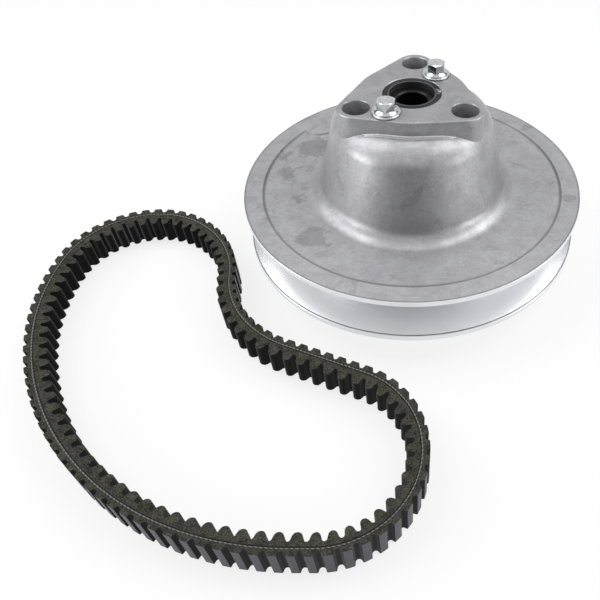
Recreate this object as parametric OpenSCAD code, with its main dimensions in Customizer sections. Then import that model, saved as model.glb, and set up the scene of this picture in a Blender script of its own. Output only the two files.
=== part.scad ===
// Driven pulley of a belt drive with its double-cogged belt, in millimetres.
// The origin is on the pulley axis at the face it stands on, and +Z runs up along the shaft.
// The lower sheave is fixed to the post. The upper one slides up the post and turns on its cam as it opens.

/* [Sheaves] */
// Outer radius of both sheaves
rim_r = 130; // [122:1:139]
// Slope of the groove faces and of the belt's flanks, in degrees
face_angle = 13; // [12:0.5:14]
// Opening of the closed groove at the rim
groove_gap = 30.4; // [28:0.2:33]
// Height of the movable sheave's rim edge
upper_edge = 4.1; // [3:0.1:5.5]
// Height of the fixed sheave's rim edge
lower_edge = 5.2; // [4:0.1:6.5]
// Height of the fixed sheave's rim above the standing face
rim_lift = 22; // [20:0.5:25]
// Distance the movable sheave opens
travel = 22; // [16:1:24]
// Gap between the inner lands of the closed sheaves
land_gap = 1.8; // [1.2:0.1:2.6]
// Width of the flat land inside each groove face
land_w = 4; // [3:0.5:6]
// Thickness of the fixed sheave's dished wall
dish_wall = 7; // [5.5:0.5:8.5]
// Thickness of the fixed sheave's centre plate
plate_t = 13; // [11:0.5:15]
// Radius of the recess round the post
recess_r = 48; // [45:0.5:51]
// Number of ribs under the fixed sheave
rib_count = 9; // [6:1:12]
// Thickness of each rib
rib_t = 5; // [3:0.5:7]

/* [Tower] */
// Height of the tower's top face above the rim
tower_h = 75; // [72:0.5:80]
// Inner radius of the raised ring round the web
ring_r = 116.1; // [112:0.5:119]
// Height of that ring above the web
ring_step = 1.2; // [0.6:0.1:2]
// Radius of the bell at the height of the rim
bell_r = 71.5; // [69:0.5:74]
// Draft of the bell's side, in degrees
bell_draft = 14; // [12.6:0.2:15]
// Wall of the bell
bell_wall = 7.5; // [6:0.25:9]
// Fillet between the web and the bell
base_fillet = 9; // [6:0.5:11]
// Radius of the bell's shoulder
shoulder_r = 20; // [17:0.5:20.5]
// Depth of the bell's crown below the top face
crown_drop = 10.2; // [8:0.1:11.5]
// Radius of the middle of the three-cornered top plate
plate_r = 39.5; // [38:0.25:41]
// Radius of each corner lobe
lobe_r = 13.4; // [12:0.1:14.5]
// Radius of the circle that the corner holes lie on
lobe_circle_r = 42.7; // [41:0.1:45]
// Bearing of the first corner, in degrees
lobe_angle = 87.3; // [60:0.1:120]
// Radius of each corner hole
tool_hole_r = 9.5; // [8:0.1:10.5]
// Chamfer of the corner holes
hole_chamfer = 0.6; // [0.3:0.1:1.2]
// Radius of the round pad on the web
pad_r = 10.6; // [8:0.2:13]
// Distance of that pad from the axis
pad_circle_r = 109.3; // [105:0.5:112]
// Bearing of that pad, in degrees
pad_angle = 138; // [130:1:150]

/* [Post] */
// Outer radius of the post
post_r = 16; // [15:0.1:16.6]
// Radius of the shaft bore
shaft_r = 11; // [9.5:0.1:12]
// Depth of the post's end below the tower's top face
post_recess = 5; // [3:0.5:7]
// Radius of the post's foot flange
foot_r = 32; // [30:0.5:36]
// Thickness of the foot flange
foot_t = 8; // [7:0.5:10]
// Width of the shaft keyway
keyway_w = 6; // [4:0.5:8]
// Depth of the shaft keyway
keyway_d = 2.2; // [1.5:0.1:2.6]
// Radius of the circle of foot screws
screw_circle_r = 24; // [23:0.5:25]
// Number of foot screws
screw_count = 6; // [4:1:8]
// Radius of a foot screw's shank
screw_r = 3; // [2.5:0.1:3.5]
// Radius of a foot screw's head
screw_head_r = 5.6; // [5:0.1:6]

/* [Cam] */
// Outer radius of the cam's neck, the black ring in the top plate
neck_r = 20.7; // [20:0.1:21]
// Depth of the neck's rim below the top face
neck_recess = 0.5; // [0.2:0.1:1]
// Chamfer of the neck's rim
neck_chamfer = 0.6; // [0.3:0.1:1]
// Wall of the bearing liners
bush_t = 1.5; // [1.2:0.1:2]
// Outer radius of the cam tube
cam_r = 33; // [32:0.25:34]
// Wall of the cam tube
cam_wall = 6; // [5:0.25:6.5]
// Thickness of the cam flange
flange_t = 7; // [6:0.5:8]
// Gap between the cam's foot and the fixed sheave
cam_foot_gap = 2.5; // [1.5:0.25:4]
// Slope of the cam slots, in degrees
cam_angle = 45; // [42:1:50]
// Radius of the circle of cam bolts
bolt_circle_r = 31; // [30.5:0.1:32]
// Bearing of the first cam bolt, in degrees
bolt_angle = 56; // [50:1:60]
// Radius of a cam bolt's shank
bolt_r = 4; // [3.5:0.1:4.5]
// Width of a cam bolt's hexagon across its flats
bolt_flats = 12; // [10:0.5:13]
// Height of a cam bolt's hexagon
hex_h = 6; // [5:0.25:7]
// Radius of a cam bolt's flange
bolt_flange_r = 8.2; // [7.8:0.1:9]
// Thickness of a cam bolt's flange
bolt_flange_t = 2; // [1.5:0.1:2.5]
// Radius of a bolt washer
washer_r = 10; // [9.3:0.1:10.2]
// Thickness of a bolt washer
washer_t = 1.6; // [1.2:0.1:2]
// Depth of the spot face under a washer
spot_depth = 0.4; // [0.2:0.1:0.8]
// Radius of the flange's ears round the bolts
ear_r = 8.25; // [7:0.25:9]
// Radius of a locating dowel
dowel_r = 3; // [2.5:0.1:3.5]

/* [Rollers and spring] */
// Radius of a cam roller
roller_r = 8; // [7:0.1:8.5]
// Width of a cam roller
roller_w = 7; // [6.5:0.1:8]
// Radius of a roller pin
pin_r = 3.5; // [3:0.1:4]
// Radius of the spider's hub
spider_r = 20.5; // [19.5:0.25:22]
// Height of the spider
spider_h = 16; // [15:0.5:17]
// Width of each spider arm
arm_w = 10; // [9:0.5:11]
// Width of the key between spider and post
key_w = 5; // [4:0.5:6]
// Length of the closed pulley's spring
spring_h = 47; // [45:0.5:50]
// Wire diameter of the spring
wire_d = 4.5; // [4:0.1:5]
// Radius of the spring to the middle of its wire
coil_r = 21.5; // [21:0.1:22]
// Number of working coils
coil_count = 3; // [2.5:0.5:3]
// Thickness of the spring washers
spring_washer_t = 2; // [1.5:0.1:2.5]
// Thickness of the spring seat
seat_t = 6.2; // [5:0.2:7]
// Thickness of the snap rings
ring_t = 1.6; // [1.2:0.1:2]

/* [Belt] */
// Number of cogs round the outside of the belt
outer_cogs = 89; // [83:1:95]
// Number of cogs round the inside, which are coarser
inner_cogs = 83; // [77:1:88]
// Width of the belt across its outer cogs
belt_w = 25; // [23:0.5:27]
// Height of the outer cogs' tips above the cord line
outer_tip = 5; // [4.4:0.1:5.6]
// Height of the outer cogs' roots above the cord line
outer_root = 2.1; // [1.6:0.1:2.6]
// Thickness of the band of cords
cord_t = 1.8; // [1.4:0.1:2.2]
// Depth of the inner cogs' roots below the cord line
inner_root = 3.8; // [3:0.1:4.4]
// Depth of the inner cogs' tips below the cord line
inner_tip = 9.6; // [8.5:0.1:10.5]
// Radius of the belt's bend at the back
back_bend_r = 61; // [59.5:0.5:63]
// Radius of the upper bend along the side
side_bend_r = 167; // [164:1:171]
// Radius of the flatter bend along the side
flank_bend_r = 220; // [216:1:223]
// Radius of the bend along the front
front_bend_r = 202; // [198:1:205]
// Radius of the bend at the front end
end_bend_r = 60; // [57:0.5:61]
// Radius of the inward bend at the waist
waist_bend_r = 83; // [80:0.5:87]
// Radius of the bend between waist and back
shoulder_bend_r = 82; // [79:0.5:84]
// X of the point where the bend at the back starts
lay_x = -179.5; // [-190:0.1:-178]
// Y of that point
lay_y = -4.2; // [-20:0.1:0]

/* [Hidden] */
$fn = 96;

// Clearances: a slip fit of fixed pieces, a running fit on the post or a pin, and room round what moves
slip = 0.02;
run = 0.05;
room = 0.3;
// How far a cut runs past the surface it leaves
past = 1;
lobe_count = 3;

// Colours
cast_colour = "#9b9da0";
polished_colour = "#d5d7da";
black_steel_colour = "#1d1e20";
steel_colour = "#b4b6b8";
zinc_colour = "#c9cccf";
roller_colour = "#cfc3a6";
liner_colour = "#2a2a2c";
rubber_colour = "#2c2b30";
flank_colour = "#45463b";
cord_colour = "#b9b8ae";

// Heights of the rims and of the tower
slope = tan(face_angle);
lower_top = rim_lift + lower_edge;
upper_bottom = lower_top + groove_gap;
rim_top = upper_bottom + upper_edge;
web_z = rim_top - ring_step;
tower_top = rim_top + tower_h;
crown_z = tower_top - crown_drop;
post_top = tower_top - post_recess;
function lower_face_z(r) = lower_top + (rim_r - r) * slope;
function upper_face_z(r) = upper_bottom - (rim_r - r) * slope;
function polar(r, a) = [r * cos(a), r * sin(a)];
function arc(centre, r, from, to, steps) = [for (i = [0 : steps]) centre + polar(r, from + (to - from) * i / steps)];

// Bell: its shoulder and base fillet are tangent to the drafted side
function bell_side_r(z) = bell_r - (z - rim_top) * tan(bell_draft);
shoulder_z = crown_z - shoulder_r;
shoulder_at = [bell_side_r(shoulder_z) - shoulder_r / cos(bell_draft), shoulder_z];
fillet_z = web_z + base_fillet;
fillet_at = [bell_side_r(fillet_z) + base_fillet / cos(bell_draft), fillet_z];
cavity_shoulder_r = shoulder_r - bell_wall;
ceiling_z = crown_z - bell_wall;
cavity_r = bell_side_r(web_z) - bell_wall / cos(bell_draft);
arc_steps = 12;

// Inner lands of the two groove faces, which nearly meet in the closed pulley
meet_r = rim_r - (groove_gap - land_gap) / (2 * slope);
upper_land_r = max(meet_r, cavity_r + land_w);
upper_land_z = upper_face_z(upper_land_r);
recess_top_r = cavity_r - land_w / 2;
lower_land_r = max(meet_r, recess_top_r + land_w);
lower_land_z = lower_face_z(lower_land_r);

// Stack on the post, from the fixed sheave's centre plate upwards
plate_top = foot_t + plate_t;
cam_foot = plate_top + cam_foot_gap;
seat_ring_lip = 1.7;
seat_ring_z = cam_foot + seat_ring_lip;
seat_z = seat_ring_z + ring_t;
seat_top = seat_z + seat_t;
spring_z = seat_top + spring_washer_t;
cup_z = spring_z + spring_h;
spider_z = cup_z + spring_washer_t;
spider_top = spider_z + spider_h;
pin_z = spider_z + spider_h / 2;
neck_gap = 2.4;
neck_foot = spider_top + ring_t + neck_gap;
neck_top = tower_top - neck_recess;
flange_z = ceiling_z - flange_t;
bush_r = post_r + run + bush_t;
spring_washer_in = max(coil_r - wire_d, post_r + 2 * room);
spring_washer_out = min(coil_r + wire_d, cam_r - cam_wall - 2 * room);

// Cam slots: where the rollers stand, between the corners, and how the cam turns as it rises
lobe_step = 360 / lobe_count;
roller_angle = lobe_angle - lobe_step / 2;
key_angle = lobe_angle + lobe_step;
cam_in_r = cam_r - cam_wall;
slot_r = roller_r + room;
roller_in = cam_r - cam_wall / 2 - roller_w / 2;
cam_turn = travel / tan(cam_angle) / (cam_r - cam_wall / 2) * 180 / PI;
arm_end = min(roller_in - room, sqrt(pow(cam_in_r - 2 * room, 2) - pow(arm_w / 2, 2)));
clip_in = roller_in + roller_w + room;
clip_t = 1;
clip_groove = 0.7;
clip_w = 3;
pin_root = post_r + 1.5;
pin_end = clip_in + 2 * clip_t;

// Belt: bends in degrees, two straight runs that close the loop, and the cogs' outlines
lay_heading = 150;
back_bend = 111;
side_bend = 27;
flank_bend = 33;
front_bend = 39;
end_bend = 158;
waist_bend = 62;
shoulder_bend = 360 - back_bend - side_bend - flank_bend - front_bend - end_bend + waist_bend;
function bend_length(r, a) = r * a * PI / 180;
function step_along(p, run_l, turn) = turn == 0
  ? [p.x + run_l * cos(p.z), p.y + run_l * sin(p.z), p.z]
  : let (k = run_l / turn * 180 / PI)
    [p.x + k * (sin(p.z + turn) - sin(p.z)), p.y - k * (cos(p.z + turn) - cos(p.z)), p.z + turn];
function belt_runs(front_run, waist_run) = [
  [bend_length(back_bend_r, back_bend), back_bend],
  [bend_length(side_bend_r, side_bend), side_bend],
  [bend_length(flank_bend_r, flank_bend), flank_bend],
  [bend_length(front_bend_r, front_bend), front_bend],
  [front_run, 0],
  [bend_length(end_bend_r, end_bend), end_bend],
  [waist_run, 0],
  [bend_length(waist_bend_r, waist_bend), -waist_bend],
  [bend_length(shoulder_bend_r, shoulder_bend), shoulder_bend]
];
function run_starts(runs, p, i = 0) = i == len(runs)
  ? [p]
  : concat([p], run_starts(runs, step_along(p, runs[i][0], runs[i][1]), i + 1));
function run_lengths(runs, l = 0, i = 0) = i == len(runs)
  ? [l]
  : concat([l], run_lengths(runs, l + runs[i][0], i + 1));
lay_start = [lay_x, lay_y, lay_heading];
open_ends = run_starts(belt_runs(0, 0), lay_start);
open_gap = lay_start - open_ends[len(open_ends) - 1];
front_heading = open_ends[4].z;
waist_heading = open_ends[6].z;
turn_between = sin(waist_heading - front_heading);
front_run = (open_gap.x * sin(waist_heading) - open_gap.y * cos(waist_heading)) / turn_between;
waist_run = (open_gap.y * cos(front_heading) - open_gap.x * sin(front_heading)) / turn_between;
runs = belt_runs(front_run, waist_run);
starts = run_starts(runs, lay_start);
lengths = run_lengths(runs);
belt_length = lengths[len(runs)];
function place_at(s) = let (i = max([for (j = [0 : len(runs) - 1]) if (lengths[j] <= s) j]), l = s - lengths[i])
  step_along(starts[i], l, runs[i][1] * l / runs[i][0]);
function flank_half(n) = belt_w / 2 - (outer_tip - n) * slope;
function flank_point(p, n, side) = [p.x + n * sin(p.z), p.y - n * cos(p.z), belt_w / 2 + side * flank_half(n)];
layer_gap = 0.06;
// Along one pitch: the share of the pitch, and the share of the cog's height there
inner_cog = [[0.12, 0.05], [0.23, 0.6], [0.37, 0.96], [0.63, 0.96], [0.77, 0.6], [0.88, 0.05]];
outer_cog = [[0.14, 0], [0.24, 1], [0.5, 1], [0.76, 1], [0.86, 0]];
plain_band = [[0, 0], [0.33, 0], [0.67, 0]];

// A radial drilling or pin at a bearing and height, from one radius to another
module radial(r, from, to, a, z) {
  translate([0, 0, z]) rotate([0, 0, a]) rotate([0, 90, 0]) translate([0, 0, from]) cylinder(r = r, h = to - from);
}

// A flat ring
module flat_ring(inner, outer, z, t) {
  translate([0, 0, z]) difference() {
    cylinder(r = outer, h = t);
    translate([0, 0, -past]) cylinder(r = inner, h = t + 2 * past);
  }
}

// A snap ring with a gap at a bearing
module snap_ring(inner, outer, z, gap, a) {
  difference() {
    flat_ring(inner, outer, z, ring_t);
    rotate([0, 0, a]) translate([inner - past, -gap / 2, z - past])
      cube([outer - inner + 2 * past, gap, ring_t + 2 * past]);
  }
}

// Copies at the two cam bolts
module at_bolts() {
  for (a = [0, 180]) rotate([0, 0, bolt_angle + a]) translate([bolt_circle_r, 0, 0]) children();
}

// Copies at the two dowels, each halfway between two corners
module at_dowels() {
  for (i = [0, 1]) rotate([0, 0, roller_angle + i * lobe_step]) translate([bolt_circle_r, 0, 0]) children();
}

// Copies at the three corners of the top plate
module at_lobes() {
  for (i = [0 : lobe_count - 1]) rotate([0, 0, lobe_angle + i * lobe_step])
    translate([lobe_circle_r, 0, 0]) children();
}

// Copies at the foot screws
module at_screws() {
  for (i = [0 : screw_count - 1]) rotate([0, 0, (i + 0.5) * 360 / screw_count])
    translate([screw_circle_r, 0, 0]) children();
}

// Lower sheave, with its groove face, recess and ribbed back
module fixed_sheave() {
  bore = post_r + slip;
  dish_start_r = rim_r - (rim_lift + dish_wall - lower_top) / slope;
  hub_top_r = lower_land_r;
  hub_top_z = lower_face_z(hub_top_r) - dish_wall;
  hub_foot_r = recess_r + dish_wall;
  rib_foot_z = (foot_t + rim_lift) / 2;
  rib_end_r = dish_start_r - 4;
  rib_end_z = lower_face_z(rib_end_r) - dish_wall;
  rib_end_h = 0.6;
  screw_depth = plate_t - 3;
  color(polished_colour) difference() {
    union() {
      rotate_extrude() polygon([
        [bore, foot_t], [hub_foot_r, foot_t], [hub_top_r, hub_top_z], [dish_start_r, rim_lift],
        [rim_r, rim_lift], [rim_r, lower_top], [lower_land_r, lower_land_z], [recess_top_r, lower_land_z],
        [recess_r, plate_top], [bore, plate_top]
      ]);
      for (i = [0 : rib_count - 1]) rotate([90, 0, i * 360 / rib_count]) linear_extrude(rib_t, center = true)
        polygon([
          [hub_foot_r - past, rib_foot_z], [rib_end_r, rib_end_z - rib_end_h], [rib_end_r, rib_end_z + past],
          [hub_top_r, hub_top_z + past], [hub_foot_r - past, hub_top_z - dish_wall]
        ]);
    }
    at_screws() translate([0, 0, foot_t - past]) cylinder(r = screw_r + slip, h = screw_depth + past);
  }
}

// Post with its foot flange, shaft bore and keyways
module shaft_post() {
  chamfer = 1;
  head_h = screw_head_r - screw_r;
  key_in = post_r - key_w / 2;
  color(black_steel_colour) difference() {
    rotate_extrude() polygon([
      [shaft_r, 0], [foot_r - chamfer, 0], [foot_r, chamfer], [foot_r, foot_t], [post_r, foot_t],
      [post_r, post_top - chamfer], [post_r - chamfer, post_top], [shaft_r + chamfer, post_top],
      [shaft_r, post_top - chamfer]
    ]);
    translate([-keyway_w / 2, -shaft_r - keyway_d, -past])
      cube([keyway_w, shaft_r + keyway_d, post_top + 2 * past]);
    rotate([0, 0, key_angle]) translate([key_in, -key_w / 2 - slip, spider_z])
      cube([key_w, key_w + 2 * slip, spider_h + slip]);
    flat_ring(post_r - ring_t - slip, post_r + past, spider_top, ring_t + slip);
    at_screws() {
      translate([0, 0, -past]) cylinder(r = screw_r + room, h = foot_t + 2 * past);
      cylinder(r1 = screw_head_r + slip, r2 = screw_r, h = head_h + slip);
    }
  }
}

// Countersunk screws between the foot flange and the fixed sheave
module post_screws() {
  head_h = screw_head_r - screw_r;
  socket_flats = 4;
  socket_depth = 2;
  color(steel_colour) at_screws() difference() {
    union() {
      cylinder(r1 = screw_head_r, r2 = screw_r, h = head_h);
      cylinder(r = screw_r, h = foot_t + plate_t - 4);
    }
    translate([0, 0, -past]) cylinder(r = socket_flats / sqrt(3), h = socket_depth + past, $fn = 6);
  }
}

// Outline of the top plate: a round middle and three round lobes, joined by flats just inside their tangents
module top_outline() {
  tangent = acos((plate_r - lobe_r) / lobe_circle_r);
  middle_r = plate_r - run;
  corner_r = lobe_r - run;
  circle(r = plate_r);
  at_lobes() circle(r = lobe_r);
  polygon([
    for (i = [0 : lobe_count - 1])
      let (a = lobe_angle + i * lobe_step, lobe = polar(lobe_circle_r, a))
        each [
          polar(middle_r, a - tangent), lobe + polar(corner_r, a - tangent),
          lobe + polar(corner_r, a + tangent), polar(middle_r, a + tangent)
        ]
  ]);
}

// Upper sheave: groove face, web, raised ring, bell and three-cornered top
module movable_sheave() {
  bore = neck_r + slip;
  dowel_depth = 8;
  color(cast_colour) difference() {
    union() {
      rotate_extrude() polygon(concat(
        [[bore, ceiling_z]],
        arc(shoulder_at, cavity_shoulder_r, 90, bell_draft, arc_steps),
        [[cavity_r, web_z], [cavity_r, upper_land_z], [upper_land_r, upper_land_z], [rim_r, upper_bottom]],
        [[rim_r, rim_top], [ring_r, rim_top], [ring_r - ring_step, web_z]],
        arc(fillet_at, base_fillet, 270, 180 + bell_draft, arc_steps),
        arc(shoulder_at, shoulder_r, bell_draft, 90, arc_steps),
        [[bore, crown_z]]
      ));
      translate([0, 0, ceiling_z]) linear_extrude(tower_top - ceiling_z) difference() {
        top_outline();
        circle(r = bore);
      }
      rotate([0, 0, pad_angle]) translate([pad_circle_r, 0, web_z - past])
        cylinder(r = pad_r, h = ring_step + past);
    }
    at_lobes() {
      translate([0, 0, shoulder_z]) cylinder(r = tool_hole_r, h = tower_top - shoulder_z + past);
      translate([0, 0, tower_top - hole_chamfer])
        cylinder(r1 = tool_hole_r, r2 = tool_hole_r + hole_chamfer + past, h = hole_chamfer + past);
    }
    at_bolts() {
      translate([0, 0, ceiling_z - past]) cylinder(r = bolt_r + room, h = tower_top);
      translate([0, 0, tower_top - spot_depth]) cylinder(r = washer_r + 3 * room, h = past);
    }
    at_dowels() translate([0, 0, ceiling_z - past]) cylinder(r = dowel_r + slip, h = dowel_depth + past);
  }
}

// One helical cam slot: a drilling at each end and the sloping slab between them
module cam_slot(a) {
  slab_steps = 12;
  cut_in = cam_in_r - 2;
  cut_out = cam_r + 2;
  inner_slope = atan(travel / (cam_in_r * cam_turn * PI / 180));
  slab_turn = slot_r * sin(inner_slope) / cam_in_r * 180 / PI;
  slab_rise = slot_r * cos(inner_slope);
  slab_points = [
    for (i = [0 : slab_steps])
      let (share = i / slab_steps)
        for (side = [-1, 1], r = side < 0 ? [cut_in, cut_out] : [cut_out, cut_in])
          [each polar(r, a - share * cam_turn + side * slab_turn), pin_z - share * travel - side * slab_rise]
  ];
  radial(slot_r, cut_in, cut_out, a, pin_z);
  radial(slot_r, cut_in, cut_out, a - cam_turn, pin_z - travel);
  polyhedron(slab_points, concat(
    [[3, 2, 1, 0]],
    [for (i = [0 : slab_steps - 1], e = [0 : 3])
      let (b = i * 4, k = (e + 1) % 4) [b + e, b + k, b + 4 + k, b + 4 + e]],
    [[for (e = [0 : 3]) slab_steps * 4 + e]]
  ));
}

// Black cam: neck in the top plate, bolted flange, and a tube with three helical slots
module torque_cam() {
  neck_bore = bush_r + slip;
  groove_r = cam_in_r + ring_t;
  thread_depth = flange_t + 2 * past;
  color(black_steel_colour) difference() {
    union() {
      rotate_extrude() polygon([
        [neck_bore, neck_foot], [neck_r, neck_foot], [neck_r, flange_z], [cam_in_r, flange_z],
        [cam_in_r, seat_ring_z + ring_t + slip], [groove_r + slip, seat_ring_z + ring_t + slip],
        [groove_r + slip, seat_ring_z], [cam_in_r, seat_ring_z], [cam_in_r, cam_foot], [cam_r, cam_foot],
        [cam_r, ceiling_z], [neck_r, ceiling_z], [neck_r, neck_top - neck_chamfer],
        [neck_r - neck_chamfer, neck_top], [neck_bore + neck_chamfer, neck_top],
        [neck_bore, neck_top - neck_chamfer]
      ]);
      translate([0, 0, flange_z]) linear_extrude(flange_t) difference() {
        union() {
          at_bolts() circle(r = ear_r);
          at_dowels() circle(r = dowel_r + (ear_r - bolt_r) / 2);
        }
        circle(r = cam_in_r);
      }
    }
    for (i = [0 : lobe_count - 1]) cam_slot(roller_angle + i * lobe_step);
    at_bolts() translate([0, 0, flange_z - past]) cylinder(r = bolt_r + slip, h = thread_depth);
    at_dowels() translate([0, 0, flange_z - past]) cylinder(r = dowel_r + slip, h = thread_depth);
  }
}

// Two bolts with flanged hexagon heads, through the top plate into the cam flange
module cam_bolts() {
  head_z = tower_top - spot_depth + washer_t;
  hex_r = bolt_flats / sqrt(3);
  hex_chamfer = 1;
  color(zinc_colour) at_bolts() {
    translate([0, 0, flange_z + past]) cylinder(r = bolt_r, h = head_z - flange_z);
    translate([0, 0, head_z]) cylinder(r1 = bolt_flange_r, r2 = bolt_flats / 2, h = bolt_flange_t);
    translate([0, 0, head_z]) intersection() {
      cylinder(r = hex_r, h = bolt_flange_t + hex_h, $fn = 6);
      cylinder(r1 = hex_r + bolt_flange_t + hex_h, r2 = bolt_flats / 2 - hex_chamfer / 2, h = bolt_flange_t + hex_h);
    }
  }
}

// A flat washer under each cam bolt
module bolt_washers() {
  color(zinc_colour) at_bolts() flat_ring(bolt_r + room, washer_r, tower_top - spot_depth, washer_t);
}

// Two dowels that locate the cam under the top plate
module cam_dowels() {
  dowel_l = flange_t + 6;
  color(steel_colour) at_dowels() translate([0, 0, flange_z + past]) cylinder(r = dowel_r, h = dowel_l - past);
}

// Bearing liner in the cam's neck
module neck_bush() {
  color(liner_colour) flat_ring(post_r + run, bush_r, neck_foot, neck_top - neck_foot - slip);
}

// Three-armed hub that carries the rollers
module roller_spider() {
  arm_h = spider_h - 2;
  color(steel_colour) difference() {
    union() {
      translate([0, 0, spider_z]) cylinder(r = spider_r, h = spider_h);
      for (i = [0 : lobe_count - 1]) rotate([0, 0, roller_angle + i * lobe_step])
        translate([post_r + past, -arm_w / 2, pin_z - arm_h / 2]) cube([arm_end - post_r - past, arm_w, arm_h]);
    }
    translate([0, 0, spider_z - past]) cylinder(r = post_r + slip, h = spider_h + 2 * past);
    for (i = [0 : lobe_count - 1]) radial(pin_r + slip, pin_root, cam_r, roller_angle + i * lobe_step, pin_z);
    rotate([0, 0, key_angle]) translate([post_r - past, -key_w / 2 - slip, spider_z - past])
      cube([past + key_w / 2 + slip, key_w + 2 * slip, spider_h + 2 * past]);
  }
}

// Key that stops the spider turning on the post
module spider_key() {
  color(steel_colour) rotate([0, 0, key_angle]) translate([post_r - key_w / 2 + slip, -key_w / 2, spider_z])
    cube([key_w - slip, key_w, spider_h]);
}

// Snap ring on the post above the spider
module spider_ring() {
  color(steel_colour) snap_ring(post_r - ring_t, post_r + ring_t, spider_top, key_w, key_angle);
}

// Radial pins that carry the rollers, each with a groove for its clip
module roller_pins() {
  color(steel_colour) for (i = [0 : lobe_count - 1]) {
    a = roller_angle + i * lobe_step;
    difference() {
      radial(pin_r, pin_root, pin_end, a, pin_z);
      difference() {
        radial(pin_r + past, clip_in, clip_in + clip_t, a, pin_z);
        radial(pin_r - clip_groove, clip_in - past, clip_in + clip_t + past, a, pin_z);
      }
    }
  }
}

// Clips in those grooves, which keep the rollers on
module pin_clips() {
  color(steel_colour) for (i = [0 : lobe_count - 1]) {
    a = roller_angle + i * lobe_step;
    difference() {
      radial(pin_r + clip_w - clip_groove, clip_in + slip, clip_in + clip_t - slip, a, pin_z);
      radial(pin_r - clip_groove + slip, clip_in - past, clip_in + clip_t + past, a, pin_z);
      rotate([0, 0, a]) translate([clip_in - past, -pin_r / 2, pin_z])
        cube([clip_t + 2 * past, pin_r, pin_r + clip_w]);
    }
  }
}

// A cam roller with chamfered edges, running on its pin
module roller(i) {
  edge = 0.6;
  bore = pin_r + run;
  color(roller_colour) rotate([0, 0, roller_angle + i * lobe_step]) translate([roller_in, 0, pin_z])
    rotate([0, 90, 0]) rotate_extrude() polygon([
      [bore, 0], [roller_r - edge, 0], [roller_r, edge], [roller_r, roller_w - edge],
      [roller_r - edge, roller_w], [bore, roller_w]
    ]);
}
module roller_1() roller(0);
module roller_2() roller(1);
module roller_3() roller(2);

// Washer between the spring and the spider
module spring_cup() {
  color(steel_colour) flat_ring(post_r + room, spring_washer_out, cup_z, spring_washer_t);
}

// Spring with closed and ground ends
module torque_spring() {
  ring_sides = 8;
  ring_steps = 18;
  turns = coil_count + 2;
  coil_pitch = (spring_h - 2 * wire_d) / coil_count;
  steps = turns * ring_steps;
  function wire_z(t) = wire_d * min(t, 1) + coil_pitch * min(max(t - 1, 0), coil_count)
    + wire_d * max(t - 1 - coil_count, 0);
  points = [
    for (i = [0 : steps], j = [0 : ring_sides - 1])
      let (t = i / ring_steps, w = polar(wire_d / 2, j * 360 / ring_sides))
        [each polar(coil_r + w.x, t * 360), wire_z(t) + w.y]
  ];
  color(steel_colour) translate([0, 0, spring_z]) intersection() {
    polyhedron(points, concat(
      [[for (j = [ring_sides - 1 : -1 : 0]) j]],
      [for (i = [0 : steps - 1], j = [0 : ring_sides - 1])
        let (b = i * ring_sides, k = (j + 1) % ring_sides) [b + j, b + k, b + ring_sides + k, b + ring_sides + j]],
      [[for (j = [0 : ring_sides - 1]) steps * ring_sides + j]]
    ));
    translate([-cam_r, -cam_r, 0]) cube([2 * cam_r, 2 * cam_r, spring_h]);
  }
}

// Washer under the spring, on which the movable half turns
module thrust_washer() {
  color(steel_colour) flat_ring(spring_washer_in, spring_washer_out, seat_top, spring_washer_t);
}

// Plate that closes the cam tube and takes the spring's load
module spring_seat() {
  hub_wall = 3;
  inner = bush_r + slip;
  color(steel_colour) rotate_extrude() polygon([
    [inner, seat_ring_z], [inner + hub_wall, seat_ring_z], [inner + hub_wall, seat_z],
    [cam_in_r - slip, seat_z], [cam_in_r - slip, seat_top], [inner, seat_top]
  ]);
}

// Bearing liner in the spring seat
module seat_bush() {
  color(liner_colour) flat_ring(post_r + run, bush_r, seat_ring_z, seat_top - seat_ring_z);
}

// Large snap ring under the spring seat
module seat_ring() {
  color(steel_colour) snap_ring(cam_in_r - 2 * ring_t, cam_in_r + ring_t, seat_ring_z, key_w, bolt_angle);
}

// One layer of the belt, between two heights above the cord line that follow a cog's outline
module belt_layer(cogs, outline, low, low_rise, high, high_rise) {
  pitch = belt_length / cogs;
  places = [for (c = [0 : cogs - 1], u = outline) [place_at((c + u[0]) * pitch), u[1]]];
  count = len(places);
  points = [
    for (q = places)
      let (n = low + q[1] * low_rise, m = high + q[1] * high_rise)
        each [flank_point(q[0], n, -1), flank_point(q[0], n, 1), flank_point(q[0], m, 1), flank_point(q[0], m, -1)]
  ];
  polyhedron(points, [
    for (i = [0 : count - 1], e = [0 : 3])
      let (b = 4 * i, d = 4 * ((i + 1) % count), k = (e + 1) % 4) [b + k, b + e, d + e, d + k]
  ]);
}

// Outer rubber with its flat-topped cogs
module belt_overcord() {
  color(rubber_colour)
    belt_layer(outer_cogs, outer_cog, cord_t / 2 + layer_gap, 0, outer_root, outer_tip - outer_root);
}

// Band of tension cords
module belt_cord() {
  color(cord_colour) belt_layer(outer_cogs, plain_band, -cord_t / 2, 0, cord_t / 2, 0);
}

// Inner rubber with its tall rounded cogs
module belt_undercord() {
  color(flank_colour)
    belt_layer(inner_cogs, inner_cog, -inner_root, inner_root - inner_tip, -cord_t / 2 - layer_gap, 0);
}

fixed_sheave();
shaft_post();
post_screws();
movable_sheave();
torque_cam();
cam_bolts();
bolt_washers();
cam_dowels();
neck_bush();
roller_spider();
spider_key();
spider_ring();
roller_pins();
pin_clips();
roller_1();
roller_2();
roller_3();
spring_cup();
torque_spring();
thrust_washer();
spring_seat();
seat_bush();
seat_ring();
belt_overcord();
belt_cord();
belt_undercord();
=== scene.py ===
import math

import bmesh
import bpy
from mathutils import Matrix, Vector


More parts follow.
